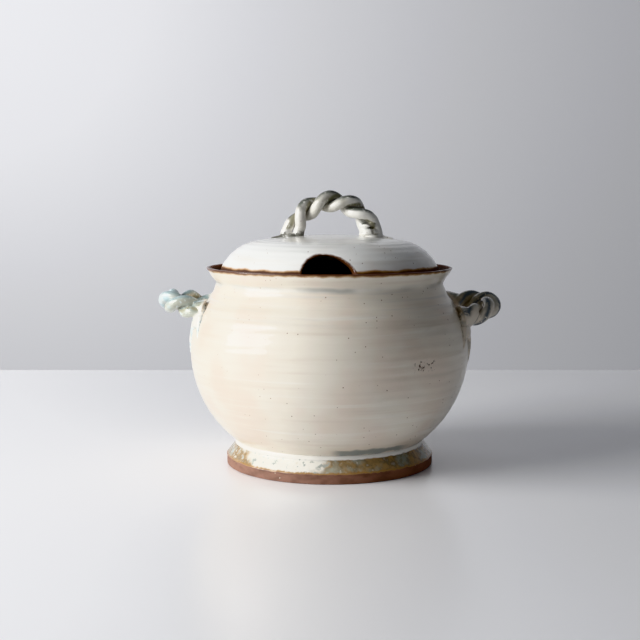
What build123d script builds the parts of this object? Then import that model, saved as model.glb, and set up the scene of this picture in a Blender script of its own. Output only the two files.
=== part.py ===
from build123d import *

import os
from math import atan2, cos, degrees, pi, radians, sin, sqrt, tan

# Lidded stoneware tureen: a wheel-thrown pot on a flared foot ring, an inset domed lid with a
# ladle notch, and three handles, each twisted from two clay coils and pressed on at its roots.
# Millimetres, +Z up. The origin is on the table, on the axis of the pot.
# The side handles lie along X and the ladle notch faces -Y.

# ---- driving sizes -------------------------------------------------------------------------
# pot
belly_radius = 116.0
belly_height = 97.0  # height of the widest circle
wall = 6.0
floor_thickness = 7.5
floor_turn = 8.0  # height over which the inside wall turns into the floor
neck_inset = 21.8  # the neck is this much narrower than the belly
neck_height = 151.5
shoulder_step = 7.3  # from the neck out and down to the point where the shoulder arc ends
shoulder_drop = 14.5

# rim and the ledge that the lid sits on
rim_flare = 8.3  # how far the lip stands out from the neck
rim_rise = 12.5  # and up from it
lip_thickness = 4.2
lip_fillet = 1.2
ledge_depth = 5.5  # below the lip
ledge_step = 3.4  # how far in from the lip's inner edge the ledge begins
ledge_width = 8.5
ledge_thickness = 7.0

# foot ring
foot_joint_inset = 39.0  # from the belly in to where the ring meets the pot
foot_joint_height = 19.5
foot_flare = 9.4  # how far the ring spreads below that
foot_band = 7.0  # height of its bare, upright band
foot_width = 17.4  # across the face it stands on
foot_taper = 2.5  # the ring's inner wall leans in towards the pot
foot_edge_fillet = 1.2
recess_height = 9.0  # from the table to the underside of the pot
base_taper = 5.25  # the pot narrows this much inside the ring

# lid
lid_clearance = 3.7  # radial, between the lid's edge and the ledge's outer wall
lid_wall = 6.0
lid_edge = 3.0  # height of the upright edge
lid_shoulder = 31.2  # from the edge in to where the crown begins
lid_crown_drop = 4.5
lid_height = 32.0  # from the ledge to the top of the crown

# ladle notch, an ellipse cut by a knife held aslant
notch_width = 42.0
notch_height = 18.5
notch_skew = 22.0  # degrees
notch_depth = 45.0

# twisted handles
strand_radius = 4.6
strand_gap = 0.2  # between the two coils of a rope
twist_lay = 8.26  # length of one full turn of the rope, in coil radii
straight_run = 16.0  # the coils lie side by side this far from each end
twist_starts = {"left": 148.5, "right": 163.5, "lid": 150.0}  # degrees, at the first root

# side handles
side_drop = 21.5  # the rear root lies this far below the neck
side_reach = 27.4  # from the wall out to the middle of the rope
side_lifts = {"left": 6.5, "right": 7.0}  # the loops rise this much from their roots
side_half_span = 27.5  # along Y, from the rope's ends to the XZ plane
side_bury = 7.0  # the coils start inside the wall and are trimmed by it
near_root_drops = {"left": 1.0, "right": 9.0}  # the front root lies lower than the rear one
side_root_radius = 12.5  # ball of clay round each root
side_root_sink = 4.5  # depth of its centre in the wall

# smeared ends of the coils, two at each side root: (degrees from the root, length)
side_legs = [(-6.0, 30.0), (8.0, 16.0)]
leg_top_radius = 5.0
leg_tip_radius = 1.6
leg_sink = 1.2  # depth of a leg's middle line in the wall
leg_stations = 4

# lid handle
lid_handle_half_span = 33.5
lid_handle_rise = 29.0  # from the crown at the roots to the middle of the rope
lid_handle_shift = 2.0  # the arch stands a little off centre
lid_root_radius = 10.5
lid_root_sink = 5.5
lid_tail = 15.0  # smeared end on the lid, outside each root

line_steps = 240  # fine steps along a rope, to measure its twist
path_points = 22  # points along each coil's line

# ---- derived places ------------------------------------------------------------------------
neck_radius = belly_radius - neck_inset
lip_radius = neck_radius + rim_flare
rim_height = neck_height + rim_rise
lip_inner_radius = lip_radius - lip_thickness
ledge_height = rim_height - ledge_depth
ledge_outer_radius = lip_inner_radius - ledge_step
ledge_inner_radius = ledge_outer_radius - ledge_width
lid_radius = ledge_outer_radius - lid_clearance
lid_crown_radius = lid_radius - lid_shoulder
lid_top = ledge_height + lid_height
floor_height = recess_height + floor_thickness
foot_joint_radius = belly_radius - foot_joint_inset
foot_radius = foot_joint_radius + foot_flare
foot_inner_radius = foot_radius - foot_width
side_height = neck_height - side_drop
twist_pitch = strand_radius * twist_lay

shoulder_point = (neck_radius + shoulder_step, neck_height - shoulder_drop)
joint_point = (foot_joint_radius, foot_joint_height)


def upright_arc_radius(point):
    """Radius of the arc that leaves the widest point of the belly upright and passes through point."""
    inward = belly_radius - point[0]
    away = point[1] - belly_height
    return (inward**2 + away**2) / (2 * inward)


shoulder_arc = upright_arc_radius(shoulder_point)
lower_arc = upright_arc_radius(joint_point)


def wall_radius(height):
    """Outer radius of the belly at a height."""
    arc = shoulder_arc if height > belly_height else lower_arc
    return belly_radius - arc + sqrt(arc**2 - (height - belly_height) ** 2)


def moved_in(point, arc, depth):
    """A point of the belly moved towards the centre of its arc."""
    centre = (belly_radius - arc, belly_height)
    share = (arc - depth) / arc
    return (centre[0] + (point[0] - centre[0]) * share, centre[1] + (point[1] - centre[1]) * share)


def arc_tangent(point, arc):
    """Direction, upwards, in which the belly's arc passes through point."""
    return (-(point[1] - belly_height) / arc, (point[0] - belly_radius + arc) / arc)


# ---- pot -----------------------------------------------------------------------------------
belly_point = (belly_radius, belly_height)
neck_point = (neck_radius, neck_height)
shoulder_tangent = arc_tangent(shoulder_point, shoulder_arc)


def pot_outline():
    """The pot's outside, from its underside up to the top of the lip."""
    Polyline((0, recess_height), (foot_joint_radius - base_taper, recess_height), joint_point)
    TangentArc(belly_point, joint_point, tangent=(0, -1))
    TangentArc(belly_point, shoulder_point, tangent=(0, 1))
    TangentArc(shoulder_point, neck_point, tangent=shoulder_tangent)
    Line(neck_point, (lip_radius, rim_height))


inner_shoulder = moved_in(shoulder_point, shoulder_arc, wall)
inner_belly = (belly_radius - wall, belly_height)
throat_point = (ledge_inner_radius, ledge_height - ledge_thickness)

# the inside turns from the lower arc into the floor with an arc that ends level
inner_arc = lower_arc - wall
turn_height = floor_height + floor_turn
level_share = (belly_height - turn_height) / inner_arc
steep_share = sqrt(1 - level_share**2)
turn_point = (inner_belly[0] - inner_arc * (1 - steep_share), turn_height)
floor_radius = turn_point[0] - floor_turn / (1 - level_share) * steep_share

with BuildPart() as pot_body:
    with BuildSketch(Plane.XZ):
        with BuildLine():
            pot_outline()
            Polyline(
                (lip_radius, rim_height),
                (lip_inner_radius, rim_height),
                (ledge_outer_radius, ledge_height),
                (ledge_inner_radius, ledge_height),
                throat_point,
            )
            TangentArc(inner_shoulder, throat_point, tangent=shoulder_tangent)
            TangentArc(inner_belly, inner_shoulder, tangent=(0, 1))
            TangentArc(inner_belly, turn_point, tangent=(0, -1))
            TangentArc(turn_point, (floor_radius, floor_height), tangent=(-level_share, -steep_share))
            Polyline((floor_radius, floor_height), (0, floor_height), (0, recess_height))
        make_face()
    revolve(axis=Axis.Z)
    fillet(pot_body.edges().group_by(Axis.Z)[-1], lip_fillet)
pot_body.part.label = "pot_body"

# the pot as a full solid, to trim what is pressed onto it
with BuildPart() as pot_solid:
    with BuildSketch(Plane.XZ):
        with BuildLine():
            pot_outline()
            Polyline((lip_radius, rim_height), (0, rim_height), (0, recess_height))
        make_face()
    revolve(axis=Axis.Z)

# ---- foot ring -----------------------------------------------------------------------------
with BuildPart() as foot_ring:
    with BuildSketch(Plane.XZ):
        with BuildLine():
            Polyline(
                (foot_inner_radius, 0),
                (foot_radius, 0),
                (foot_radius, foot_band),
                joint_point,
                (foot_inner_radius - foot_taper, foot_joint_height),
                close=True,
            )
        make_face()
    revolve(axis=Axis.Z)
    fillet(foot_ring.edges().group_by(Axis.Z)[0], foot_edge_fillet)
    add(pot_solid.part, mode=Mode.SUBTRACT)
foot_ring.part.label = "foot_ring"

# ---- lid -----------------------------------------------------------------------------------
crown_arc = (lid_crown_radius**2 + lid_crown_drop**2) / (2 * lid_crown_drop)
crown_end = (lid_crown_radius, lid_top - lid_crown_drop)
crown_slope = (sqrt(crown_arc**2 - lid_crown_radius**2) / crown_arc, -lid_crown_radius / crown_arc)
lid_corner = (lid_radius, ledge_height + lid_edge)


def lid_outline():
    """The lid's outside, from the crown down to its seat on the ledge."""
    TangentArc((0, lid_top), crown_end, tangent=(1, 0))
    TangentArc(crown_end, lid_corner, tangent=crown_slope)
    Line(lid_corner, (lid_radius, ledge_height))


def lid_surface(radius):
    """Height of the lid's crown at a radius inside its shoulder."""
    return lid_top - crown_arc + sqrt(crown_arc**2 - radius**2)


inner_crown_end = (crown_end[0] + crown_slope[1] * lid_wall, crown_end[1] - crown_slope[0] * lid_wall)
lid_seat_inner = (lid_radius - lid_wall, ledge_height)

with BuildPart() as lid:
    with BuildSketch(Plane.XZ):
        with BuildLine():
            lid_outline()
            Line((lid_radius, ledge_height), lid_seat_inner)
            TangentArc(inner_crown_end, lid_seat_inner, tangent=crown_slope)
            TangentArc((0, lid_top - lid_wall), inner_crown_end, tangent=(1, 0))
            Line((0, lid_top - lid_wall), (0, lid_top))
        make_face()
    revolve(axis=Axis.Z)
    # the cut starts outside the edge and runs in and to the left
    with BuildSketch(Plane.XZ.offset(lid_radius + lid_wall)):
        with Locations((lid_wall * tan(radians(notch_skew)), ledge_height)):
            Ellipse(notch_width / 2, notch_height)
    notch_run = (-sin(radians(notch_skew)), cos(radians(notch_skew)), 0)
    extrude(amount=notch_depth, dir=notch_run, mode=Mode.SUBTRACT)
lid.part.label = "lid"

with BuildPart() as lid_solid:
    with BuildSketch(Plane.XZ):
        with BuildLine():
            lid_outline()
            Polyline((lid_radius, ledge_height), (0, ledge_height), (0, lid_top))
        make_face()
    revolve(axis=Axis.Z)


# ---- twisted ropes -------------------------------------------------------------------------
def rope_strand(start, end, middle_rise, twist_start, side):
    """One coil of a left-handed rope that runs in a half ellipse from start to end.

    middle_rise is the vector from the middle of that line to the top of the half ellipse.
    side is 0 or 1, for the two coils, and twist_start is measured from the outside of the bend.
    """
    middle = (start + end) / 2
    reach = (end - start) / 2
    flat_normal = reach.cross(middle_rise).normalized()
    line = [
        middle - reach * cos(pi * n / line_steps) + middle_rise * sin(pi * n / line_steps)
        for n in range(line_steps + 1)
    ]
    runs = [0.0]
    for here, there in zip(line, line[1:]):
        runs.append(runs[-1] + (there - here).length)
    offset = strand_radius + strand_gap / 2
    points = []
    for n, centre in enumerate(line):
        along = (line[min(n + 1, line_steps)] - line[max(n - 1, 0)]).normalized()
        outward = flat_normal.cross(along).normalized()
        twisted_run = min(max(runs[n] - straight_run, 0), runs[-1] - 2 * straight_run)
        turn = radians(twist_start + 180 * side) - 2 * pi * twisted_run / twist_pitch
        points.append(centre + outward * offset * cos(turn) + flat_normal * offset * sin(turn))
    kept = [round(n * line_steps / (path_points - 1)) for n in range(path_points)]
    with BuildPart() as strand:
        with BuildLine() as strand_line:
            Spline(*[points[n] for n in kept])
        with BuildSketch(strand_line.line ^ 0):
            Circle(strand_radius)
        sweep()
    return strand.part


def trimmed(part, *tools, label):
    """part with every tool cut away."""
    with BuildPart() as result:
        add(part)
        for tool in tools:
            add(tool, mode=Mode.SUBTRACT)
    result.part.label = label
    return result.part


# ---- side handles --------------------------------------------------------------------------
def meridian_plane(angle, height, sink):
    """Plane square to the belly's outline, with its origin sink below the surface."""
    arc = shoulder_arc if height > belly_height else lower_arc
    radius, level = moved_in((wall_radius(height), height), arc, sink)
    rise_in, rise_up = arc_tangent((wall_radius(height), height), arc)
    across = Vector(cos(radians(angle)), sin(radians(angle)), 0)
    return Plane(
        origin=across * radius + Vector(0, 0, level),
        x_dir=Vector(0, 0, 1).cross(across),
        z_dir=across * rise_in + Vector(0, 0, rise_up),
    )


def leg_radius(share):
    """Radius of a smeared end, a share of its length away from the root."""
    return leg_top_radius + (leg_tip_radius - leg_top_radius) * share


def side_leg(angle, height, spread, length):
    """A smeared end that runs down the wall and leans away by spread degrees."""
    with BuildPart() as leg:
        for n in range(leg_stations):
            share = n / (leg_stations - 1)
            lean = spread * (1 + share) / 2
            with BuildSketch(meridian_plane(angle + lean, height - length * share, leg_sink)):
                Circle(leg_radius(share))
        loft()
    return leg.part


def side_root(angle, height, turn):
    """A ball of clay on the wall, with its two legs."""
    legs = [side_leg(angle, height, turn * spread, length) for spread, length in side_legs]
    with BuildPart() as root:
        with Locations(meridian_plane(angle, height, side_root_sink)):
            Sphere(side_root_radius)
        for leg in legs:
            add(leg)
    return root.part


side_parts = {}
side_wall = wall_radius(side_height)
side_angle = degrees(atan2(side_half_span, side_wall))
rope_end_x = sqrt(side_wall**2 - side_half_span**2) - side_bury
for side, direction in (("left", -1), ("right", 1)):
    near_drop = near_root_drops[side]
    near = Vector(direction * rope_end_x, -side_half_span, side_height - near_drop)
    far = Vector(direction * rope_end_x, side_half_span, side_height)
    out = Vector(direction * (side_wall + side_reach - rope_end_x), 0, side_lifts[side])
    strands = [rope_strand(near, far, out, twist_starts[side], n) for n in (0, 1)]
    for letter, strand in zip("ab", strands):
        name = f"{side}_handle_strand_{letter}"
        side_parts[name] = trimmed(strand, pot_solid.part, label=name)
    for place, turn, drop in (("front", -1, near_drop), ("rear", 1, 0)):
        name = f"{side}_handle_{place}_root"
        angle = turn * side_angle if direction > 0 else 180 - turn * side_angle
        ball_height = side_height - drop - strand_radius
        root = side_root(angle, ball_height, turn * direction)
        side_parts[name] = trimmed(root, pot_solid.part, *strands, label=name)

# ---- lid handle ----------------------------------------------------------------------------
lid_rope_height = lid_surface(lid_handle_half_span) - strand_radius
lid_near = Vector(lid_handle_shift - lid_handle_half_span, 0, lid_rope_height)
lid_far = Vector(lid_handle_shift + lid_handle_half_span, 0, lid_rope_height)
lid_rise = Vector(0, 0, lid_handle_rise + strand_radius)
lid_strands = [rope_strand(lid_near, lid_far, lid_rise, twist_starts["lid"], n) for n in (0, 1)]
lid_parts = {}
for letter, strand in zip("ab", lid_strands):
    name = f"lid_handle_strand_{letter}"
    lid_parts[name] = trimmed(strand, lid_solid.part, label=name)


def lid_tail_part(centre_x, direction):
    """A smeared end that runs out over the crown from a root."""
    with BuildPart() as tail:
        for n in range(leg_stations):
            share = n / (leg_stations - 1)
            x = centre_x + direction * lid_tail * share
            with BuildSketch(Plane.YZ.offset(x)):
                with Locations((0, lid_surface(abs(x)) - leg_sink)):
                    Circle(leg_radius(share))
        loft()
    return tail.part


for side, direction, centre_x in (("left", -1, lid_near.X), ("right", 1, lid_far.X)):
    name = f"lid_handle_{side}_root"
    tail = lid_tail_part(centre_x, direction)
    with BuildPart() as root:
        with Locations((centre_x, 0, lid_surface(abs(centre_x)) - lid_root_sink)):
            Sphere(lid_root_radius)
        add(tail)
    lid_parts[name] = trimmed(root.part, lid_solid.part, *lid_strands, label=name)

# ---- files ---------------------------------------------------------------------------------
os.makedirs("parts", exist_ok=True)
export_step(pot_body.part, "parts/pot_body.step")
export_step(foot_ring.part, "parts/foot_ring.step")
export_step(lid.part, "parts/lid.step")
for name, part in {**side_parts, **lid_parts}.items():
    export_step(part, f"parts/{name}.step")
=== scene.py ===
from math import atan2, ceil, cos, hypot, pi, radians, sin, sqrt

import bpy
from mathutils import Matrix, Vector, noise
from mathutils.kdtree import KDTree


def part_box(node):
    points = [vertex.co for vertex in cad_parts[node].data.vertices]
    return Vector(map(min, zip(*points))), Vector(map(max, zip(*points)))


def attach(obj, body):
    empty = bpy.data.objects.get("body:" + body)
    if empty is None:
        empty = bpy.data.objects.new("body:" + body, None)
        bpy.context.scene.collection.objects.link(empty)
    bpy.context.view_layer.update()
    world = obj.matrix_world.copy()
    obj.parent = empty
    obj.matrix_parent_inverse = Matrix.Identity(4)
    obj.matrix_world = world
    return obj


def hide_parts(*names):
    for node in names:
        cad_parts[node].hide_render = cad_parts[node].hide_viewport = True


# A lidded stoneware tureen, thrown, glazed and fired, with handles twisted from two coils of clay.
# The shape values are in millimetres, and the scene is in metres.

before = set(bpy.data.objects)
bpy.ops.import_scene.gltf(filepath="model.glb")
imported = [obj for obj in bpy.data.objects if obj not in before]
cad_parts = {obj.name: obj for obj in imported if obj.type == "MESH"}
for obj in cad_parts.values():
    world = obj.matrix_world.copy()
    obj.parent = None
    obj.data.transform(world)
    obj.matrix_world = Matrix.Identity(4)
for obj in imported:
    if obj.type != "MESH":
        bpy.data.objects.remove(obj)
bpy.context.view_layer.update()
mm = 0.001

camera = {"place": (-8.05, -950, 221), "tilt": 6.12, "lens": 64.1}
stage = {
    "tableBack": 506,  # where the table top ends behind the pot
    "tableReach": 3000,
    "tableColour": "#F7F7F9",
    "tableRoughness": 0.24,
    "wallBehind": 1500,
    "wallHeight": 1600,
    "wallColour": "#F2F2F5",
    "wallRoughness": 0.9,
    "roomColour": "#C9CCD2",
    "roomLight": 0.26,
}

# the window is one soft light, and the backdrop has another on the wall only
window = {
    "aim": (-0.8945, -0.3166, 0.3226),  # from the pot towards the middle of the window
    "aimHeight": 100,  # the window faces this point of the pot's axis
    "distance": 1450,
    "width": 1000,
    "height": 760,
    "power": 32,
}
backdrop = {"place": (-800, 900, 700), "aim": (-400, 1500, 150), "size": 900, "power": 3.0}


# how each surface takes the light, and how deep its fine relief is in mm
finishes = {
    "dippedPot": {"roughness": 0.4, "coat": 0.55, "relief": 0.05},
    "dippedLid": {"roughness": 0.36, "coat": 0.7, "relief": 0.05},
    "runnyFoot": {"roughness": 0.25, "coat": 0.6, "relief": 0.1},
    "pooledHandle": {"roughness": 0.28, "coat": 0.6, "relief": 0.05},
    "thinHandle": {"roughness": 0.45, "coat": 0.3},
    "bareClay": {"roughness": 0.75, "coat": 0.0},
    "sandyClay": {"roughness": 0.8, "coat": 0.0},
}


def colour(hexCode):
    # sRGB hex to linear
    channels = [int(hexCode[n : n + 2], 16) / 255 for n in (1, 3, 5)]
    linear = [c / 12.92 if c <= 0.04045 else ((c + 0.055) / 1.055) ** 2.4 for c in channels]
    return (*linear, 1.0)


def addNode(tree, kind, settings=None, links=None):
    # settings are the node's own properties or its sockets' values, links are sockets to join
    node = tree.nodes.new(kind)
    for key, value in (settings or {}).items():
        if isinstance(key, str) and hasattr(node, key):
            setattr(node, key, value)
        else:
            node.inputs[key].default_value = value
    for key, source in (links or {}).items():
        tree.links.new(source, node.inputs[key])
    return node


def newMaterial(name):
    material = bpy.data.materials.new(name)
    material.use_nodes = True
    material.node_tree.nodes.clear()
    return material, material.node_tree


def deselectAll():
    if bpy.context.object and bpy.context.object.mode != "OBJECT":
        bpy.ops.object.mode_set(mode="OBJECT")
    bpy.ops.object.select_all(action="DESELECT")


def takeUp(piece):
    deselectAll()
    piece.select_set(True)
    bpy.context.view_layer.objects.active = piece


def applyModifier(piece, kind, **settings):
    takeUp(piece)
    bpy.ops.object.modifier_add(type=kind)
    modifier = piece.modifiers[-1]
    for key, value in settings.items():
        setattr(modifier, key, value)
    bpy.ops.object.modifier_apply(modifier=modifier.name)


def millimetres(tree):
    # the place on the object in mm, whole and as x, y and z
    place = addNode(tree, "ShaderNodeTexCoord").outputs["Object"]
    scaled = addNode(tree, "ShaderNodeVectorMath", {"operation": "SCALE", "Scale": 1 / mm}, {0: place})
    axes = addNode(tree, "ShaderNodeSeparateXYZ", links={0: scaled.outputs[0]})
    return scaled.outputs[0], *axes.outputs


def clouds(tree, place, size, stretch=(1, 1, 1), detail=2.0):
    # soft patches about size mm across, stretched along the axes
    scale = [1 / (size * along) for along in stretch]
    near = addNode(tree, "ShaderNodeVectorMath", {"operation": "MULTIPLY", 1: scale}, {0: place})
    settings = {"Scale": 1.0, "Detail": detail}
    return addNode(tree, "ShaderNodeTexNoise", settings, {"Vector": near.outputs[0]}).outputs[0]


def wandered(tree, value, patches, reach):
    # value, moved up and down by as much as half of reach
    centred = addNode(tree, "ShaderNodeMath", {"operation": "SUBTRACT", 1: 0.5}, {0: patches})
    moved = addNode(
        tree, "ShaderNodeMath", {"operation": "MULTIPLY_ADD", 1: reach}, {0: centred.outputs[0], 2: value}
    )
    return moved.outputs[0]


def cover(tree, *steps):
    # how much of a coat lies there: the product of soft steps in (value, none, full)
    share = None
    for value, none, full in steps:
        settings = {"interpolation_type": "SMOOTHSTEP", "From Min": none, "From Max": full}
        step = addNode(tree, "ShaderNodeMapRange", settings, {"Value": value})
        if share is not None:
            links = {0: share, 1: step.outputs[0]}
            step = addNode(tree, "ShaderNodeMath", {"operation": "MULTIPLY"}, links)
        share = step.outputs[0]
    return share


def paint(tree, under, over, *steps):
    # a coat of the colour over what is under it
    mixed = addNode(tree, "ShaderNodeMix", {"data_type": "RGBA"}, {0: cover(tree, *steps)})
    for socket, shade in ((mixed.inputs[6], under), (mixed.inputs[7], over)):
        if isinstance(shade, str):
            socket.default_value = colour(shade)
        else:
            tree.links.new(shade, socket)
    return mixed.outputs[2]


def specks(tree, place, spacing, share):
    # iron specks that burn through a glaze, in a share of cells of that spacing in mm
    cells = addNode(tree, "ShaderNodeTexVoronoi", {"Scale": 1 / spacing}, {"Vector": place})
    chance = addNode(tree, "ShaderNodeSeparateColor", links={0: cells.outputs["Color"]})
    return (cells.outputs["Distance"], 0.14, 0.07), (chance.outputs[0], share + 0.02, share)


def fired(tree, shade, height, glazed, bare, *bareSteps):
    # the surface: glazed under a glassy coat, and bare where the steps say
    share = cover(tree, *bareSteps)
    roughness, glass = [
        addNode(tree, "ShaderNodeMix", {"data_type": "FLOAT", 2: glazed[key], 3: bare[key]}, {0: share})
        for key in ("roughness", "coat")
    ]
    depth = {"Strength": 1.0, "Distance": glazed["relief"] * mm}
    bump = addNode(tree, "ShaderNodeBump", depth, {"Height": height})
    shader = addNode(
        tree,
        "ShaderNodeBsdfPrincipled",
        {"IOR": 1.5, "Coat Roughness": 0.08},
        {
            "Base Color": shade,
            "Roughness": roughness.outputs[0],
            "Coat Weight": glass.outputs[0],
            "Normal": bump.outputs[0],
        },
    )
    addNode(tree, "ShaderNodeOutputMaterial", links={"Surface": shader.outputs[0]})


def attributeOf(tree, name):
    return addNode(tree, "ShaderNodeAttribute", {"attribute_name": name}).outputs["Fac"]


# stoneware pot under a dipped cream glaze: soft pink drift, faint rings, iron specks, a grey pool in
# the neck, a brush stroke above the foot, a few dark chips on the belly, and a lip where the glaze
# has run thin over the iron-brown clay
def potGlaze():
    material, tree = newMaterial("dippedCreamGlaze")
    place, x, y, z = millimetres(tree)
    drift = clouds(tree, place, 45)
    rings = clouds(tree, place, 9, (14, 14, 0.55))
    fine = clouds(tree, place, 1.6)
    pastLip = wandered(tree, attributeOf(tree, "pastLip"), clouds(tree, place, 7, detail=4), 3.0)
    shade = paint(tree, "#E6DFD1", "#E2D5C6", (drift, 0.42, 0.7))
    shade = paint(tree, shade, "#D9CEBF", (rings, 0.5, 0.85))
    shade = paint(tree, shade, "#ECE7DC", (rings, 0.46, 0.2))
    # darker streaks round the upper shoulder, just under the neck: painted shade of the throwing rings
    # there
    shoulder = clouds(tree, place, 6, (12, 12, 0.5), detail=3)
    paintedRingShade = ((shoulder, 0.48, 0.76), (z, 118, 138), (z, 153, 149))
    shade = paint(tree, shade, "#D6D0C6", *paintedRingShade)
    neck = wandered(tree, z, clouds(tree, place, 16, (2, 2, 1), detail=3), 5.0)
    pooled = ((neck, 147.5, 151.4), (neck, 154.6, 151.8), (drift, 0.36, 0.6))
    shade = paint(tree, shade, "#BAB8B0", *pooled)
    stroke = wandered(tree, z, clouds(tree, place, 6, (2, 2, 1), detail=4), 6.0)
    front = (y, 0.0, -20.0)
    brushed = ((stroke, 21.0, 22.4), (stroke, 27.6, 25.4), (x, -2, 10), (x, 66, 52), front)
    shade = paint(tree, shade, "#9B9F9B", *brushed)
    chips = clouds(tree, place, 2.4, detail=3)
    chipped = ((chips, 0.56, 0.64), (x, 62, 66), (x, 82, 78), (z, 88, 91), (z, 99, 96), front)
    shade = paint(tree, shade, "#6A5A4E", *chipped)
    shade = paint(tree, shade, "#7C5A41", *specks(tree, place, 4.2, 0.3))
    throatEdge, throatRun = (pastLip, 24.0, 22.0), (pastLip, 26.0, 22.0)
    shade = paint(tree, shade, "#B08E63", (pastLip, -4.2, -2.6), throatRun)
    shade = paint(tree, shade, "#5F3C28", (pastLip, -2.8, -1.6), throatEdge)
    shade = paint(tree, shade, "#7D4D33", (pastLip, 0.4, 1.4), (pastLip, 4.4, 2.4))
    shade = paint(tree, shade, "#3A241A", (pastLip, 4.0, 8.0), throatEdge)
    ledge = ((pastLip, -1.0, 3.0), throatRun)
    fired(tree, shade, fine, finishes["dippedPot"], finishes["bareClay"], *ledge)
    return material


# stoneware lid under the same glaze, whiter: it stops short of the edge and of the knife-cut notch,
# where the clay fired dark brown
def lidGlaze():
    material, tree = newMaterial("dippedWhiteGlaze")
    place, _, _, z = millimetres(tree)
    drift = clouds(tree, place, 38)
    rings = clouds(tree, place, 8, (12, 12, 0.6))
    edge = wandered(tree, z, clouds(tree, place, 14, detail=3), 3.0)
    cut = wandered(tree, attributeOf(tree, "pastCut"), clouds(tree, place, 5), 1.6)
    shade = paint(tree, "#F6F6F2", "#EFECE6", (drift, 0.45, 0.7))
    shade = paint(tree, shade, "#E1DDD5", (rings, 0.52, 0.85))
    shade = paint(tree, shade, "#7C5A41", *specks(tree, place, 4.6, 0.34))
    shade = paint(tree, shade, "#B38A5C", (edge, 166.6, 165.0))
    shade = paint(tree, shade, "#4E2F1F", (edge, 165.4, 164.0))
    shade = paint(tree, shade, "#5A3A28", (cut, 2.4, 0.8))
    fine = clouds(tree, place, 1.6)
    fired(tree, shade, fine, finishes["dippedLid"], finishes["bareClay"], (edge, 165.8, 164.2))
    return material


# turned foot: bare red-brown clay below, and above it a runny amber glaze with white patches where
# the pot's own glaze reached it
def footGlaze():
    material, tree = newMaterial("runnyAmberGlaze")
    place, x, _, z = millimetres(tree)
    patches = clouds(tree, place, 13, detail=3)
    small = clouds(tree, place, 5, detail=3)
    runs = clouds(tree, place, 3, (1, 1, 5))
    edge = wandered(tree, z, runs, 2.4)
    whiter = wandered(tree, x, patches, 60)
    shade = paint(tree, "#AC9068", "#8A7A60", (small, 0.34, 0.66))
    shade = paint(tree, shade, "#A1A192", (patches, 0.48, 0.66))
    shade = paint(tree, shade, "#ECE9E0", (whiter, -72, -58), (whiter, 2, -16))
    shade = paint(tree, shade, "#D9D2C2", (small, 0.6, 0.74))
    shade = paint(tree, shade, "#A9ADA6", (small, 0.45, 0.35), (x, 30, 0))
    shade = paint(tree, shade, "#786B57", (x, 10, 80), (small, 0.46, 0.72))
    shade = paint(tree, shade, "#F2EFE7", (wandered(tree, z, small, 2.4), 17.2, 18.2))
    shade = paint(tree, shade, "#A58358", (edge, 9.6, 8.2))
    shade = paint(tree, shade, "#8C6A5B", (edge, 8.2, 7.3))
    shade = paint(tree, shade, "#785A4C", (edge, 8.2, 7.3), (clouds(tree, place, 6, (2, 2, 1)), 0.4, 0.68))
    shade = paint(tree, shade, "#E6DCCB", (edge, 8.0, 7.2), *specks(tree, place, 3.6, 0.16))
    grain = clouds(tree, place, 1.1)
    fired(tree, shade, grain, finishes["runnyFoot"], finishes["sandyClay"], (edge, 8.2, 7.0))
    return material


# twisted coils under glaze that ran off their crests and pooled in their grooves; tones gives each
# handle its own colours, from the pot's cream to copper green and iron black
def handleGlaze(name, tones):
    material, tree = newMaterial(name)
    place, x, _, _ = millimetres(tree)
    upward, groove, around, rooted = [
        attributeOf(tree, reading) for reading in ("upward", "groove", "around", "rooted")
    ]
    run = wandered(tree, attributeOf(tree, "run"), clouds(tree, place, 14), 0.3)
    patches = clouds(tree, place, 9, detail=3)
    small = clouds(tree, place, 3, detail=3)
    crest = wandered(tree, upward, patches, 0.9)
    stripe = wandered(tree, around, patches, 0.5)
    striped = ((stripe, *tones["stripeFrom"]), (stripe, *tones["stripeTo"]))
    shade = paint(tree, tones["body"], tones["drift"], (patches, 0.45, 0.62))
    shade = paint(tree, shade, tones["far"], (run, 0.56, 0.68))
    shade = paint(tree, shade, tones["near"], (run, 0.4, 0.3))
    shade = paint(tree, shade, tones["crest"], (crest, *tones["crestFrom"]))
    shade = paint(tree, shade, tones["stripe"], *striped)
    shade = paint(tree, shade, tones["thin"], (small, 0.58, 0.7))
    shade = paint(tree, shade, tones["pool"], (wandered(tree, groove, small, 0.4), 0.45, 1.15))
    shade = paint(tree, shade, tones["root"], (rooted, 0.35, 0.75), (patches, 0.7, 0.5))
    seam = wandered(tree, rooted, small, 0.5)
    shade = paint(tree, shade, tones["seam"], (seam, *tones["seamFrom"]), (x, *tones["seamSide"]))
    shade = paint(tree, shade, "#6B5240", *specks(tree, place, 3.4, 0.2))
    fired(tree, shade, small, finishes["pooledHandle"], finishes["thinHandle"], (small, 0.6, 0.8))
    return material


# painted table top, satin, and a matt wall
def stageMaterial(name, hexCode, roughness):
    material, tree = newMaterial(name)
    shader = addNode(
        tree, "ShaderNodeBsdfPrincipled", {"Base Color": colour(hexCode), "Roughness": roughness}
    )
    addNode(tree, "ShaderNodeOutputMaterial", links={"Surface": shader.outputs["BSDF"]})
    return material


deselectAll()
bpy.ops.object.camera_add(
    location=Vector(camera["place"]) * mm, rotation=(radians(90 - camera["tilt"]), 0, 0)
)
bpy.context.object.data.lens = camera["lens"]
bpy.context.scene.camera = bpy.context.object

deselectAll()
reach = stage["tableReach"] * mm
tableBack = stage["tableBack"] * mm
bpy.ops.mesh.primitive_plane_add(size=1, location=(0, tableBack - reach / 2, 0))
table = bpy.context.object
table.name = "tableTop"
table.scale = (2 * reach, reach, 1)
table.data.materials.append(stageMaterial("whiteLacquer", stage["tableColour"], stage["tableRoughness"]))

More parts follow.
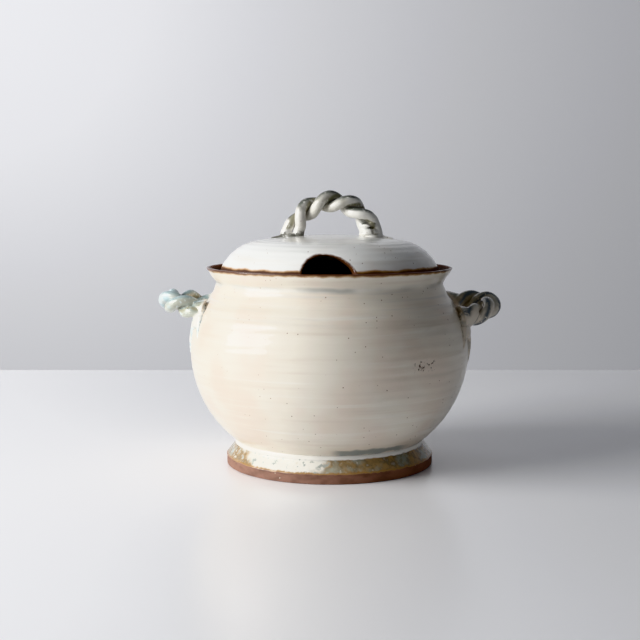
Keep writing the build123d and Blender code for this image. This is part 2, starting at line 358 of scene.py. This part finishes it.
deselectAll()
wallBehind = stage["wallBehind"] * mm
bpy.ops.mesh.primitive_plane_add(size=1, location=(0, wallBehind, 0), rotation=(pi / 2, 0, 0))
wall = bpy.context.object
wall.name = "wallBehind"
wall.scale = (2 * reach, 2 * stage["wallHeight"] * mm, 1)
wall.data.materials.append(stageMaterial("greyWallPaint", stage["wallColour"], stage["wallRoughness"]))

deselectAll()
aim = Vector(window["aim"]).normalized()
aimed = Vector((0, 0, window["aimHeight"] * mm))
bpy.ops.object.light_add(type="AREA", location=aim * window["distance"] * mm + aimed)
key = bpy.context.object
key.rotation_euler = aim.to_track_quat("Z", "Y").to_euler()
key.data.shape = "RECTANGLE"
key.data.size = window["width"] * mm
key.data.size_y = window["height"] * mm
key.data.energy = window["power"]

deselectAll()
bpy.ops.object.light_add(type="AREA", location=Vector(backdrop["place"]) * mm)
wash = bpy.context.object
back = Vector(backdrop["place"]) - Vector(backdrop["aim"])
wash.rotation_euler = back.to_track_quat("Z", "Y").to_euler()
wash.data.size = backdrop["size"] * mm
wash.data.energy = backdrop["power"]

world = bpy.data.worlds.new("studio")
bpy.context.scene.world = world
world.use_nodes = True
room = world.node_tree.nodes["Background"]
room.inputs["Color"].default_value = colour(stage["roomColour"])
room.inputs["Strength"].default_value = stage["roomLight"]
bpy.context.scene.view_settings.view_transform = "Khronos PBR Neutral"
print("camera, stage and lights are up")


def arcTo(line, end, heading, spacing):
    # goes on from the last point of line to end, on the arc that leaves along heading
    start = Vector(line[-1])
    chord = Vector(end) - start
    heading = Vector(heading).normalized()
    across = Vector((-heading.y, heading.x))
    radius = chord.length_squared / (2 * chord.dot(across))
    centre = start + across * radius
    turn = 2 * atan2(chord.dot(across), chord.dot(heading))
    count = ceil(abs(radius * turn) / spacing)
    for n in range(1, count + 1):
        line.append(tuple(centre + Matrix.Rotation(turn * n / count, 2) @ (start - centre)))


def lineTo(line, end, spacing):
    start = Vector(line[-1])
    chord = Vector(end) - start
    count = ceil(chord.length / spacing)
    for n in range(1, count + 1):
        line.append(tuple(start + chord * (n / count)))


def pickVertices(piece, chosen):
    # leaves exactly the chosen vertices selected, in edit mode
    takeUp(piece)
    bpy.ops.object.mode_set(mode="EDIT")
    bpy.ops.mesh.select_mode(type="VERT")
    bpy.ops.mesh.select_all(action="DESELECT")
    bpy.ops.object.mode_set(mode="OBJECT")
    for vertex in piece.data.vertices:
        vertex.select = chosen(vertex.co)
    bpy.ops.object.mode_set(mode="EDIT")


def turned(name, outline, softened, steps):
    # the outline is drawn point by point, its corners are softened and it is spun round the axis
    deselectAll()
    bpy.ops.mesh.primitive_plane_add(size=mm, location=(outline[0][0] * mm, 0, outline[0][1] * mm))
    piece = bpy.context.object
    piece.name = name
    bpy.ops.object.transform_apply(location=True, rotation=False, scale=False)
    bpy.ops.object.mode_set(mode="EDIT")
    bpy.ops.mesh.merge(type="CENTER")
    for here, there in zip(outline, outline[1:]):
        step = ((there[0] - here[0]) * mm, 0, (there[1] - here[1]) * mm)
        bpy.ops.mesh.extrude_vertices_move(TRANSFORM_OT_translate={"value": step})
    for (radius, height), offset in softened.items():
        corner = Vector((radius * mm, 0, height * mm))
        pickVertices(piece, lambda place: (place - corner).length < 0.01 * mm)
        bpy.ops.mesh.bevel(offset=offset * mm, segments=5, affect="VERTICES")
    bpy.ops.object.mode_set(mode="OBJECT")
    profile = walkedProfile(piece.data)
    bpy.ops.object.mode_set(mode="EDIT")
    bpy.ops.mesh.select_all(action="SELECT")
    bpy.ops.mesh.spin(steps=steps, angle=2 * pi, center=(0, 0, 0), axis=(0, 0, 1))
    bpy.ops.mesh.select_all(action="SELECT")
    bpy.ops.mesh.remove_doubles(threshold=0.002 * mm)
    bpy.ops.mesh.normals_make_consistent(inside=False)
    bpy.ops.object.mode_set(mode="OBJECT")
    return piece, profile


def walkedProfile(mesh):
    # the profile's points in order from its lowest one on the outside, each with the way walked in mm
    nextTo = {}
    for edge in mesh.edges:
        a, b = edge.vertices
        nextTo.setdefault(a, []).append(b)
        nextTo.setdefault(b, []).append(a)
    ends = [index for index, others in nextTo.items() if len(others) == 1]
    here = min(ends, key=lambda index: mesh.vertices[index].co.z) if ends else 0
    walked, way, before = [], 0.0, None
    while here is not None:
        place = mesh.vertices[here].co.copy()
        if walked:
            way += (place - walked[-1][0]).length / mm
        walked.append((place, way))
        onward = [other for other in nextTo[here] if other != before]
        before, here = here, onward[0] if onward else None
        if here == 0 and not ends:
            break
    return walked


def relief(piece, amount):
    # moves every point of the surface along its normal, by amount(place) in mm
    mesh = piece.data
    moved = [vertex.co + vertex.normal * (amount(vertex.co) * mm) for vertex in mesh.vertices]
    for vertex, place in zip(mesh.vertices, moved):
        vertex.co = place
    mesh.update()


def ease(low, high, value):
    # 0 below low, 1 above high, and an even curve between
    share = min(max((value - low) / (high - low), 0.0), 1.0)
    return share * share * (3 - 2 * share)


def storeNumber(piece, name, values):
    attribute = piece.data.attributes.new(name, "FLOAT", "POINT")
    attribute.data.foreach_set("value", values)


potLow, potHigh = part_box("pot_body")
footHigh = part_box("foot_ring")[1]
lidLow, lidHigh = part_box("lid")

pot = {
    "bellyRadius": potHigh.x / mm,
    "bellyHeight": 97.0,
    "recess": potLow.z / mm,
    "rimHeight": potHigh.z / mm,
    "jointHeight": footHigh.z / mm,
    "jointInset": 39.0,
    "baseTaper": 5.25,
    "wall": 6.0,
    "floorHeight": 16.5,
    "floorTurn": 8.0,
    "neckInset": 21.8,
    "neckHeight": 151.5,
    "neckSoft": 1.2,  # how far the groove under the rim is rounded out
    "shoulderStep": 7.3,
    "shoulderDrop": 14.5,
    "rimFlare": 8.3,
    "lipThickness": 4.2,
    "lipSoft": 1.6,
    "ledgeHeight": lidLow.z / mm,
    "ledgeStep": 3.4,
    "ledgeWidth": 8.5,
    "ledgeThickness": 7.0,
    "ridgePitch": 7.5,  # spacing of the finger ridges
    "ridgeDepth": 0.16,
    "ridgeFaint": 0.55,  # share of that depth below the belly's middle
    "ridgeRise": (70, 140),  # heights between which they deepen
    "ridgeDrift": 45,
    "warp": 0.35,
    "warpSize": 80,
    "fine": 1.5,  # spacing of the outline's points
    "coarse": 4.0,
    "steps": 288,
}


def uprightArc(point):
    # radius of the arc that leaves the belly upright and passes through point
    inward = pot["bellyRadius"] - point[0]
    away = point[1] - pot["bellyHeight"]
    return (inward**2 + away**2) / (2 * inward)


neckRadius = pot["bellyRadius"] - pot["neckInset"]
jointPoint = (pot["bellyRadius"] - pot["jointInset"], pot["jointHeight"])
shoulderPoint = (neckRadius + pot["shoulderStep"], pot["neckHeight"] - pot["shoulderDrop"])
shoulderArc = uprightArc(shoulderPoint)
lowerArc = uprightArc(jointPoint)


def wallRadius(height):
    arc = shoulderArc if height > pot["bellyHeight"] else lowerArc
    return pot["bellyRadius"] - arc + sqrt(arc**2 - (height - pot["bellyHeight"]) ** 2)


def wallPoint(angle, height, sink):
    # a point sink below the pot's surface, and the direction out of the surface there, in metres
    arc = shoulderArc if height > pot["bellyHeight"] else lowerArc
    centre = Vector((pot["bellyRadius"] - arc, pot["bellyHeight"]))
    outward = (Vector((wallRadius(height), height)) - centre).normalized()
    flat = centre + outward * (arc - sink)
    across = Vector((cos(angle), sin(angle), 0))
    return (across * flat.x + Vector((0, 0, flat.y))) * mm, across * outward.x + Vector((0, 0, outward.y))


def potOutline():
    belly = (pot["bellyRadius"], pot["bellyHeight"])
    lipRadius = neckRadius + pot["rimFlare"]
    lipInner = lipRadius - pot["lipThickness"]
    ledgeOuter = lipInner - pot["ledgeStep"]
    throat = ledgeOuter - pot["ledgeWidth"]
    throatFoot = (throat, pot["ledgeHeight"] - pot["ledgeThickness"])
    fine, coarse = pot["fine"], pot["coarse"]
    line = [(0, pot["recess"])]
    lineTo(line, (jointPoint[0] - pot["baseTaper"], pot["recess"]), 2 * coarse)
    lineTo(line, jointPoint, coarse)
    arcTo(line, belly, lowerHeading(), fine)
    arcTo(line, shoulderPoint, (0, 1), fine)
    arcTo(line, (neckRadius, pot["neckHeight"]), shoulderHeading(), fine)
    lineTo(line, (lipRadius, pot["rimHeight"]), fine)
    lineTo(line, (lipInner, pot["rimHeight"]), coarse)
    lineTo(line, (ledgeOuter, pot["ledgeHeight"]), coarse)
    lineTo(line, (throat, pot["ledgeHeight"]), coarse)
    lineTo(line, throatFoot, coarse)
    inner = pot["wall"]
    centre = Vector((pot["bellyRadius"] - shoulderArc, pot["bellyHeight"]))
    innerShoulder = centre + (Vector(shoulderPoint) - centre) * ((shoulderArc - inner) / shoulderArc)
    lineTo(line, tuple(innerShoulder), coarse)
    arcTo(line, (belly[0] - inner, belly[1]), (-shoulderHeading()).to_tuple(), coarse)
    innerArc = lowerArc - inner
    turnHeight = pot["floorHeight"] + pot["floorTurn"]
    level = (pot["bellyHeight"] - turnHeight) / innerArc
    steep = sqrt(1 - level**2)
    turnPoint = (belly[0] - inner - innerArc * (1 - steep), turnHeight)
    arcTo(line, turnPoint, (0, -1), coarse)
    floorRadius = turnPoint[0] - pot["floorTurn"] / (1 - level) * steep
    arcTo(line, (floorRadius, pot["floorHeight"]), (-level, -steep), coarse)
    lineTo(line, (0, pot["floorHeight"]), 2 * coarse)
    softened = {
        (lipRadius, pot["rimHeight"]): pot["lipSoft"],
        (lipInner, pot["rimHeight"]): pot["lipSoft"],
        (throat, pot["ledgeHeight"]): pot["lipSoft"],
        (neckRadius, pot["neckHeight"]): pot["neckSoft"],
    }
    return line, softened


def shoulderHeading():
    # upwards along the shoulder, where its arc ends
    up = shoulderPoint[1] - pot["bellyHeight"]
    return Vector((-up, shoulderPoint[0] - pot["bellyRadius"] + shoulderArc))


def lowerHeading():
    # upwards along the belly, where it leaves the foot
    return Vector((pot["bellyHeight"] - jointPoint[1], jointPoint[0] - pot["bellyRadius"] + lowerArc))


def potRelief(place):
    height = place.z / mm
    if height < pot["jointHeight"] + 1:
        return 0.0
    spiral = height / pot["ridgePitch"] - atan2(place.y, place.x) / (2 * pi)
    drift = noise.noise(place * (1 / (pot["ridgeDrift"] * mm)))
    faint = pot["ridgeFaint"]
    depth = pot["ridgeDepth"] * (faint + (1 - faint) * ease(*pot["ridgeRise"], height))
    ridge = sin(2 * pi * (spiral + 0.5 * drift)) * depth
    elsewhere = Vector((3, 1, 7))  # so that the warp doesn't follow the drift
    return ridge + pot["warp"] * noise.noise(place * (1 / (pot["warpSize"] * mm)) + elsewhere)


outline, softened = potOutline()
potPiece, profile = turned("pot", outline, softened, pot["steps"])
finder = KDTree(len(profile))
for index, (place, way) in enumerate(profile):
    finder.insert(place, index)
finder.balance()
lipWay = min(profile, key=lambda item: (abs(item[0].z - potHigh.z) > 1e-6, item[1]))[1]
ways = []
for vertex in potPiece.data.vertices:
    x, y, z = vertex.co
    ways.append(profile[finder.find((hypot(x, y), 0, z))[1]][1] - lipWay)
storeNumber(potPiece, "pastLip", ways)
relief(potPiece, potRelief)
bpy.ops.object.shade_smooth()
potPiece.data.materials.append(potGlaze())
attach(potPiece, "pot")
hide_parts("pot_body")
print("pot turned", len(potPiece.data.vertices))


# the foot ring, with the step where its glaze ends and the bead of glaze in the joint
foot = {
    "bandHeight": 7.0,
    "width": 17.4,
    "taper": 2.5,
    "edgeSoft": 1.2,
    "glazeDepth": 0.35,
    "beadBelow": 2.4,  # the bead starts this far below the joint
    "beadAbove": 1.6,
    "warp": 0.3,
    "warpSizes": (9, 3),
    "runRise": (1.0, 6.0),  # the glaze is uneven between these heights
    "runFall": (20, 21),
    "fine": 0.8,  # spacing of the outline's points
    "coarse": 3.0,
    "steps": 360,
}


def footOutline():
    outer = footHigh.x / mm
    inner = outer - foot["width"]
    band, glazeDepth = foot["bandHeight"], foot["glazeDepth"]
    slope = (jointPoint[0] - outer) / (jointPoint[1] - band)
    beadFoot = jointPoint[1] - foot["beadBelow"]
    beadHead = jointPoint[1] + foot["beadAbove"]
    fine, coarse = foot["fine"], foot["coarse"]
    line = [(inner, 0)]
    lineTo(line, (outer, 0), coarse)
    lineTo(line, (outer, band), fine)
    lineTo(line, (outer + glazeDepth, band + glazeDepth), fine)
    lineTo(line, (outer + glazeDepth + (beadFoot - band) * slope, beadFoot), fine)
    arcTo(line, (wallRadius(beadHead), beadHead), (0.5, 1), 0.5)
    lineTo(line, (jointPoint[0] - glazeDepth * 2, jointPoint[1]), coarse)
    lineTo(line, (inner - foot["taper"], jointPoint[1]), coarse)
    lineTo(line, (inner, 0), coarse)
    return line, {(outer, 0): foot["edgeSoft"]}


def footRelief(place):
    height = place.z / mm
    share = ease(*foot["runRise"], height) * (1 - ease(*foot["runFall"], height))
    broad, small = [noise.noise(place * (1 / (size * mm))) for size in foot["warpSizes"]]
    return share * foot["warp"] * (broad + 0.4 * small)


outline, softened = footOutline()
footPiece = turned("footRing", outline, softened, foot["steps"])[0]
relief(footPiece, footRelief)
bpy.ops.object.shade_smooth()
footPiece.data.materials.append(footGlaze())
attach(footPiece, "pot")
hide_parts("foot_ring")
print("foot ring turned", len(footPiece.data.vertices))

# the lid: turned as a shell, its ladle notch cut aslant, and its edges worn round by the sponge
lid = {
    "radius": lidHigh.x / mm,
    "seat": lidLow.z / mm,
    "top": lidHigh.z / mm,
    "wall": 6.0,
    "edge": 3.0,
    "shoulder": 31.2,
    "crownDrop": 4.5,
    "notchWidth": 42.0,
    "notchHeight": 18.5,
    "notchSkew": 22.0,  # degrees
    "notchRun": 90,  # length of the cut
    "ridgePitch": 6.0,
    "ridgeDepth": 0.1,
    "ridgeRise": (20, 50),  # radii between which the ridges deepen
    "warp": 0.3,
    "warpSize": 50,
    "fine": 2.0,  # spacing of the outline's points
    "coarse": 4.0,
    "voxel": 0.95,
    "smoothing": 8,
    "steps": 240,
}
crownRadius = lid["radius"] - lid["shoulder"]
crownArc = (crownRadius**2 + lid["crownDrop"] ** 2) / (2 * lid["crownDrop"])
notchRun = Vector((-sin(radians(lid["notchSkew"])), cos(radians(lid["notchSkew"])), 0))
notchAcross = Vector((notchRun.y, -notchRun.x, 0))
notchHalf = lid["notchWidth"] / 2 * cos(radians(lid["notchSkew"]))
notchMouth = Vector((0, -lid["radius"], lid["seat"]))


def crownHeight(radius):
    return lid["top"] - crownArc + sqrt(crownArc**2 - radius**2)


def lidOutline():
    steep = Vector((sqrt(crownArc**2 - crownRadius**2), -crownRadius)) / crownArc
    fine, coarse = lid["fine"], lid["coarse"]
    outer = [(0, lid["top"])]
    arcTo(outer, (crownRadius, lid["top"] - lid["crownDrop"]), (1, 0), coarse)
    arcTo(outer, (lid["radius"], lid["seat"] + lid["edge"]), steep, fine)
    lineTo(outer, (lid["radius"], lid["seat"]), lid["edge"] / 2)
    inner = [(0, lid["top"] - lid["wall"])]
    innerCrown = (
        crownRadius + steep.y * lid["wall"],
        lid["top"] - lid["crownDrop"] - steep.x * lid["wall"],
    )
    arcTo(inner, innerCrown, (1, 0), coarse)
    arcTo(inner, (lid["radius"] - lid["wall"], lid["seat"]), steep, fine)
    return outer + inner[::-1]


def cutNotch(piece):
    deselectAll()
    bpy.ops.mesh.primitive_cylinder_add(vertices=96, radius=1, depth=lid["notchRun"] * mm)
    cutter = bpy.context.object
    cutter.scale = (notchHalf * mm, lid["notchHeight"] * mm, 1)
    bpy.ops.object.transform_apply(location=False, rotation=False, scale=True)
    cutter.rotation_euler = (pi / 2, 0, radians(lid["notchSkew"]))
    cutter.location = notchMouth * mm
    bpy.ops.object.transform_apply(location=True, rotation=True, scale=False)
    applyModifier(piece, "BOOLEAN", object=cutter, operation="DIFFERENCE", solver="EXACT")
    bpy.data.objects.remove(cutter)


def pastCut(place):
    # how far a place is from the notch's cut face, in mm, and a long way for the rest of the lid
    if place.y > -lid["radius"] / 2 * mm:
        return lid["radius"]
    away = place / mm - notchMouth
    across = away.dot(notchAcross) / notchHalf
    return (hypot(across, away.z / lid["notchHeight"]) - 1) * notchHalf


def lidRelief(place):
    radius = hypot(place.x, place.y) / mm
    spiral = radius / lid["ridgePitch"] - atan2(place.y, place.x) / (2 * pi)
    ridge = sin(2 * pi * spiral) * lid["ridgeDepth"] * ease(*lid["ridgeRise"], radius)
    return ridge + lid["warp"] * noise.noise(place * (1 / (lid["warpSize"] * mm)))


lidPiece = turned("lidDome", lidOutline(), {}, lid["steps"])[0]
cutNotch(lidPiece)
applyModifier(lidPiece, "REMESH", mode="VOXEL", voxel_size=lid["voxel"] * mm)
applyModifier(lidPiece, "SMOOTH", factor=0.5, iterations=lid["smoothing"])
storeNumber(lidPiece, "pastCut", [pastCut(vertex.co) for vertex in lidPiece.data.vertices])
relief(lidPiece, lidRelief)
takeUp(lidPiece)
bpy.ops.object.shade_smooth()
lidPiece.data.materials.append(lidGlaze())
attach(lidPiece, "lid")
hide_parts("lid")
print("lid turned and cut", len(lidPiece.data.vertices))

# the handles: two coils twisted together, pressed on and smeared down at their roots
rope = {
    "strandRadius": 4.6,
    "strandGap": 0.2,
    "pitch": 4.6 * 8.26,  # one full turn
    "straightRun": 16.0,  # the coils lie side by side this far from each end
    "lineSteps": 240,
    "pointEvery": 5,
    "rootedWithin": 13.0,  # the coils are glazed like the pot this near to it
    "grooveWidth": (0.2, 2.6),  # from the groove's bottom to where it ends
    "voxel": 0.5,
    "smoothing": 5,
    "warp": 0.35,
    "warpSize": 8,
}


def ropeCoils(start, end, rise, startTurn):
    # both coils of a left-handed rope in a half ellipse: each a list of (place, outward, along)
    middle, reach = (start + end) / 2, (end - start) / 2
    flat = reach.cross(rise).normalized()
    steps = rope["lineSteps"]
    line = [middle - reach * cos(pi * n / steps) + rise * sin(pi * n / steps) for n in range(steps + 1)]
    offset = rope["strandRadius"] + rope["strandGap"] / 2
    runs = [0.0]
    for here, there in zip(line, line[1:]):
        runs.append(runs[-1] + (there - here).length)
    coils = ([], [])
    for n, centre in enumerate(line):
        along = (line[min(n + 1, steps)] - line[max(n - 1, 0)]).normalized()
        outward = flat.cross(along).normalized()
        twistedRun = min(max(runs[n] - rope["straightRun"], 0), runs[-1] - 2 * rope["straightRun"])
        for side, coil in enumerate(coils):
            turn = radians(startTurn + 180 * side) - 2 * pi * twistedRun / rope["pitch"]
            away = outward * cos(turn) + flat * sin(turn)
            coil.append((centre + away * offset, away, along))
    return coils, line


def rolled(places, radii):
    # a coil of clay rolled along the places, in mm
    deselectAll()
    bpy.ops.curve.primitive_nurbs_path_add()
    piece = bpy.context.object
    spline = piece.data.splines[0]
    spline.points.add(len(places) - len(spline.points))
    for point, place, radius in zip(spline.points, places, radii):
        point.co = (*(place * mm), 1)
        point.radius = radius
    spline.order_u = 3
    spline.use_endpoint_u = True
    piece.data.resolution_u = 6
    piece.data.bevel_depth = mm
    piece.data.bevel_resolution = 6
    piece.data.use_fill_caps = True
    bpy.ops.object.convert(target="MESH")
    return bpy.context.object


def pad(place, outward, radius, thickness):
    # a flattened lump of clay against a surface
    deselectAll()
    bpy.ops.mesh.primitive_uv_sphere_add(segments=32, ring_count=20, radius=radius * mm)
    piece = bpy.context.object
    piece.scale = (1, 1, thickness / radius)
    bpy.ops.object.transform_apply(location=False, rotation=False, scale=True)
    piece.rotation_euler = outward.to_track_quat("Z", "Y").to_euler()
    piece.location = place * mm
    bpy.ops.object.transform_apply(location=True, rotation=True, scale=False)
    return piece


def tapered(first, last, count):
    return [first + (last - first) * n / (count - 1) for n in range(count)]


def fuse(name, lumps, coils, rootedness):
    # presses the lumps into one piece, and stores on it what its glaze follows: the grooves, the
    # turn round a coil, the run along it, the nearness of a root and how much the surface faces up
    takeUp(lumps[0])
    for lump in lumps:
        lump.select_set(True)
    bpy.ops.object.join()
    piece = bpy.context.object
    piece.name = name
    applyModifier(piece, "REMESH", mode="VOXEL", voxel_size=rope["voxel"] * mm)
    applyModifier(piece, "SMOOTH", factor=0.5, iterations=rope["smoothing"])
    finders = []
    for coil in coils:
        finder = KDTree(len(coil))
        for index, (place, outward, along) in enumerate(coil):
            finder.insert(place, index)
        finder.balance()
        finders.append(finder)
    grooves, arounds, runs, rooted = [], [], [], []
    for vertex in piece.data.vertices:
        place = vertex.co / mm
        found = [finder.find(place) for finder in finders]
        nearer = 0 if found[0][2] < found[1][2] else 1
        centre, outward, along = coils[nearer][found[nearer][1]]
        away = place - centre
        arounds.append(atan2(away.dot(along.cross(outward)), away.dot(outward)) / pi)
        runs.append(found[nearer][1] / rope["lineSteps"])
        grooves.append(1 - ease(*rope["grooveWidth"], abs(found[0][2] - found[1][2])))
        rooted.append(1 - ease(0, rope["rootedWithin"], rootedness(place)))
    storeNumber(piece, "groove", grooves)
    storeNumber(piece, "around", arounds)
    storeNumber(piece, "run", runs)
    storeNumber(piece, "rooted", rooted)
    relief(piece, lambda place: rope["warp"] * noise.noise(place * (1 / (rope["warpSize"] * mm))))
    storeNumber(piece, "upward", [vertex.normal.z for vertex in piece.data.vertices])
    takeUp(piece)
    bpy.ops.object.shade_smooth()
    return piece


sideHandles = {
    "drop": 21.5,
    "reach": 27.4,
    "halfSpan": 27.5,
    "bury": 7.0,
    "startTurns": {"left": 148.5, "right": 163.5},
    "lifts": {"left": 6.5, "right": 7.0},
    "nearDrops": {"left": 1.0, "right": 9.0},
    "endDepth": 0.6,  # the coils end this far inside the wall
    "padRadius": 10.5,
    "padThickness": 4.6,
    "collarRadii": {"left": (9.0, 5.0), "right": (11.0, 5.4)},
    "collarLengths": {"left": 9.0, "right": 15.0},
    "collarStations": 6,
    "legs": [(-6.0, 30.0), (8.0, 16.0)],  # degrees from the root, and length
    "legRadii": (4.8, 1.3),
    "legDepth": 0.9,
    "legStations": 7,
}


def wallDepth(place):
    return wallRadius(place.z) - hypot(place.x, place.y)


def sideLumps(side, direction):
    height = pot["neckHeight"] - sideHandles["drop"]
    drop, halfSpan = sideHandles["nearDrops"][side], sideHandles["halfSpan"]
    wallHere = wallRadius(height)
    endX = sqrt(wallHere**2 - halfSpan**2) - sideHandles["bury"]
    near = Vector((direction * endX, -halfSpan, height - drop))
    far = Vector((direction * endX, halfSpan, height))
    out = Vector((direction * (wallHere + sideHandles["reach"] - endX), 0, sideHandles["lifts"][side]))
    coils, line = ropeCoils(near, far, out, sideHandles["startTurns"][side])
    lumps = []
    for coil in coils:
        shown = [place for place, outward, along in coil if wallDepth(place) < sideHandles["endDepth"]]
        shown = shown[:: rope["pointEvery"]] + shown[-1:]
        lumps.append(rolled(shown, [rope["strandRadius"]] * len(shown)))
    outside = [place for place in line if wallDepth(place) < sideHandles["endDepth"]]
    for turn, ends, low in ((-1, outside, drop), (1, outside[::-1], 0)):
        angle = turn * atan2(halfSpan, wallHere)
        rootHeight = height - low - rope["strandRadius"]
        length = sideHandles["collarLengths"][side]
        collar = [place for place in ends if (place - ends[0]).length < length]
        collar = collar[:: max(1, len(collar) // sideHandles["collarStations"])]
        lumps.append(rolled(collar, tapered(*sideHandles["collarRadii"][side], len(collar))))
        atX = angle if direction > 0 else pi - angle
        padPlace, padOut = wallPoint(atX, rootHeight, 0)
        lumps.append(pad(padPlace / mm, padOut, sideHandles["padRadius"], sideHandles["padThickness"]))
        for spread, legLength in sideHandles["legs"]:
            stations = sideHandles["legStations"]
            leg = []
            for n in range(stations):
                share = n / (stations - 1)
                lean = radians(spread * (1 + share) / 2) * turn * direction
                legHeight = rootHeight - legLength * share
                leg.append(wallPoint(atX + lean, legHeight, sideHandles["legDepth"])[0] / mm)
            lumps.append(rolled(leg, tapered(*sideHandles["legRadii"], stations)))
    return lumps, coils


handleTones = {
    "left": {
        "body": "#C8CFCC", "drift": "#AEC2C5", "near": "#B0B2A5", "far": "#B0A590",
        "crest": "#9DB3B6", "crestFrom": (0.1, 1.0),
        "stripe": "#9E9B84", "stripeFrom": (0.2, 0.5), "stripeTo": (0.8, 0.5),
        "thin": "#C9D3D1", "pool": "#8F8F80", "root": "#EFEBE2",
        "seam": "#B4BEBE", "seamFrom": (0.9, 1.05), "seamSide": (0, -1),
    },
    "right": {
        "body": "#DAD3C5", "drift": "#C6BEAF", "near": "#DCD3C4", "far": "#BDB5A6",
        "crest": "#A8ABA2", "crestFrom": (0.3, 1.2),
        "stripe": "#71777B", "stripeFrom": (-0.44, -0.2), "stripeTo": (0.02, -0.2),
        "thin": "#D2CCBE", "pool": "#9A9187", "root": "#D8CDBD",
        "seam": "#A5A199", "seamFrom": (0.95, 1.1), "seamSide": (0, 1),
    },
    "lid": {
        "body": "#D9D6CC", "drift": "#C7C3B6", "near": "#D9D6CE", "far": "#E8E6DF",
        "crest": "#686B64", "crestFrom": (0.25, 0.85),
        "stripe": "#97937F", "stripeFrom": (0.4, 0.6), "stripeTo": (0.9, 0.7),
        "thin": "#E9E7E0", "pool": "#6D6963", "root": "#F1EFE9",
        "seam": "#78776F", "seamFrom": (0.7, 0.95), "seamSide": (-16, -20),
    },
}

for side, direction in (("left", -1), ("right", 1)):
    lumps, coils = sideLumps(side, direction)
    piece = fuse(f"{side}Handle", lumps, coils, lambda place: -wallDepth(place))
    piece.data.materials.append(handleGlaze(f"{side}HandleGlaze", handleTones[side]))
    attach(piece, "pot")
    parts = ("strand_a", "strand_b", "front_root", "rear_root")
    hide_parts(*[f"{side}_handle_{part}" for part in parts])
    print(side, "handle pressed on", len(piece.data.vertices))

lidHandle = {
    "halfSpan": 33.5,
    "rise": 29.0,
    "shift": 2.0,
    "startTurn": 150.0,
    "endDepth": 1.5,
    "splay": 2.0,  # the coils of the left root part below the next height, by these shares of it
    "splayWithin": 14.0,
    "splayShares": (0.4, -1),
    "padRadius": 7.5,
    "padThickness": 3.4,
    "tailRadii": (3.2, 0.7),  # the roots are smeared out into tails along the lid
    "tailLength": 17.0,
    "tailDrift": -1.5,
    "tailLift": 0.2,
    "tailStations": 6,
    "wrapHeights": [2.4, 5.6, 8.8],  # thin coils wound round the right root
    "wrapRadius": 1.7,
    "wrapReach": 7.6,
    "wrapInset": 2.2,
    "wrapTaper": 0.12,  # they get narrower and lean in by these shares of their height
    "wrapLean": 0.1,
    "wrapFlatness": 0.85,
    "wrapWave": 0.8,
    "wrapStations": 25,
}


def lidHandleLumps():
    shift, halfSpan = lidHandle["shift"], lidHandle["halfSpan"]
    low = crownHeight(halfSpan) - rope["strandRadius"]
    start = Vector((shift - halfSpan, 0, low))
    end = Vector((shift + halfSpan, 0, low))
    rise = Vector((0, 0, lidHandle["rise"] + rope["strandRadius"]))
    coils, line = ropeCoils(start, end, rise, lidHandle["startTurn"])
    lumps = []
    for coil, way in zip(coils, lidHandle["splayShares"]):
        shown = []
        for place, outward, along in coil:
            above = place.z - crownHeight(abs(place.x))
            if above > -lidHandle["endDepth"]:
                spread = (1 - ease(0, lidHandle["splayWithin"], above)) * lidHandle["splay"]
                shown.append(place + Vector((way * spread if place.x < 0 else 0, 0, 0)))
        shown = shown[:: rope["pointEvery"]] + shown[-1:]
        lumps.append(rolled(shown, [rope["strandRadius"]] * len(shown)))
    for direction in (-1, 1):
        rootX = shift + direction * halfSpan
        seat, up = Vector((rootX, 0, crownHeight(rootX))), Vector((0, 0, 1))
        lumps.append(pad(seat, up, lidHandle["padRadius"], lidHandle["padThickness"]))
        tail = []
        last = lidHandle["tailStations"] - 1
        for n in range(last + 1):
            x = rootX + direction * lidHandle["tailLength"] * n / last
            z = crownHeight(abs(x)) + lidHandle["tailLift"]
            tail.append(Vector((x, lidHandle["tailDrift"] * n / last, z)))
        lumps.append(rolled(tail, tapered(*lidHandle["tailRadii"], len(tail))))
    for height in lidHandle["wrapHeights"]:
        ring = []
        last = lidHandle["wrapStations"] - 1
        reachHere = lidHandle["wrapReach"] - lidHandle["wrapTaper"] * height
        middle = shift + halfSpan - lidHandle["wrapInset"] - lidHandle["wrapLean"] * height
        for n in range(last + 1):
            turn = 2 * pi * n / last
            z = crownHeight(halfSpan) + height + lidHandle["wrapWave"] * sin(turn + height)
            y = reachHere * lidHandle["wrapFlatness"] * sin(turn)
            ring.append(Vector((middle + reachHere * cos(turn), y, z)))
        lumps.append(rolled(ring, [lidHandle["wrapRadius"]] * len(ring)))
    return lumps, coils


lumps, coils = lidHandleLumps()
piece = fuse("lidHandle", lumps, coils, lambda place: place.z - crownHeight(min(abs(place.x), crownRadius)))
piece.data.materials.append(handleGlaze("lidHandleGlaze", handleTones["lid"]))
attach(piece, "lid")
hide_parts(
    "lid_handle_strand_a", "lid_handle_strand_b", "lid_handle_left_root", "lid_handle_right_root"
)
print("lid handle pressed on", len(piece.data.vertices))
